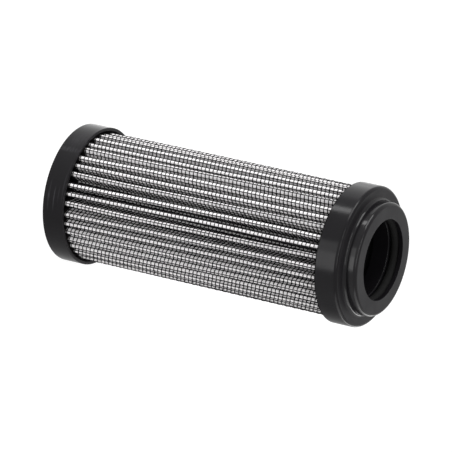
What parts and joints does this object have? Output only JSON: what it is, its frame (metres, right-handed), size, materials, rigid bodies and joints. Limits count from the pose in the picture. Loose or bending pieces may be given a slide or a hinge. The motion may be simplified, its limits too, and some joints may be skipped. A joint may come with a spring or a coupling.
{
  "type": "hydraulic filter element",
  "caption": "Pleated hydraulic filter element with wire-cloth covered pleats, a core tube, a closed end cap and an open end cap with a sealed bore.",
  "frame": {"origin": "centre of the closed end cap's outer face, which the element stands on", "axes": "+Z along the element's axis, from the closed end to the open end; the side seam is at the back, 3 degrees past +Y"},
  "size_m": [0.045, 0.045, 0.1113],
  "materials": {
    "cap_nylon": "satin",
    "core_nylon": "matte",
    "coated_wire": "satin",
    "fleece": "matte",
    "glass_fibre": "matte",
    "clip_steel": "satin",
    "adhesive": "gloss",
    "seal_rubber": "satin"
  },
  "bodies": {
    "root": {"closed_end_cap": "cap_nylon", "open_end_cap": "cap_nylon", "core_tube": "core_nylon", "outer_mesh": "coated_wire", "outer_fleece": "fleece", "coarse_media": "glass_fibre", "fine_media": "glass_fibre", "inner_fleece": "fleece", "inner_mesh": "coated_wire", "seam_clip": "clip_steel", "seam_sealant": "adhesive", "closed_end_bond": "adhesive", "open_end_bond": "adhesive", "seal_ring": "seal_rubber"}
  },
  "joints": []
}
